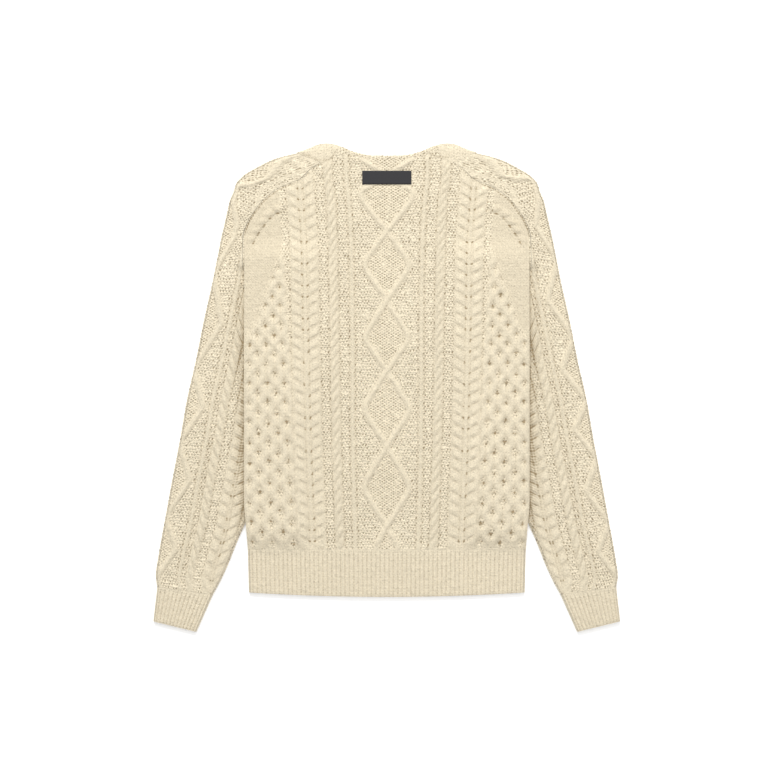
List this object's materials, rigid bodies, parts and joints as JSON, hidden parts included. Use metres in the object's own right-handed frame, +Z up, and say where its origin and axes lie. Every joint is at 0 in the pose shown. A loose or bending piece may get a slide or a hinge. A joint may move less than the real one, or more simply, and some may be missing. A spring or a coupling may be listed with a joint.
{
  "type": "cable knit sweater",
  "caption": "Long-sleeved cable knit pullover laid flat on its front, with raised cables, diamonds and honeycomb on the back, ribbed hem and cuffs, and a bare patch at the neck.",
  "frame": {"origin": "middle of the laid garment's outline, on the surface it rests on", "axes": "+Z up from the surface, out of the back of the garment; +Y towards the neck; +X to the viewer's right seen from above"},
  "size_m": [0.7232, 0.7564, 0.0159],
  "materials": {
    "cream_wool": "matt chunky knit in undyed cream wool",
    "charcoal_patch": "matt charcoal woven patch, bare"
  },
  "bodies": {
    "root": {"back_panel": "cream_wool", "front_panel": "cream_wool", "sleeve_left": "cream_wool", "sleeve_right": "cream_wool", "hem_rib": "cream_wool", "cuff_left": "cream_wool", "cuff_right": "cream_wool", "neck_trim_back": "cream_wool", "neck_trim_front": "cream_wool", "neck_patch": "charcoal_patch"}
  },
  "joints": []
}
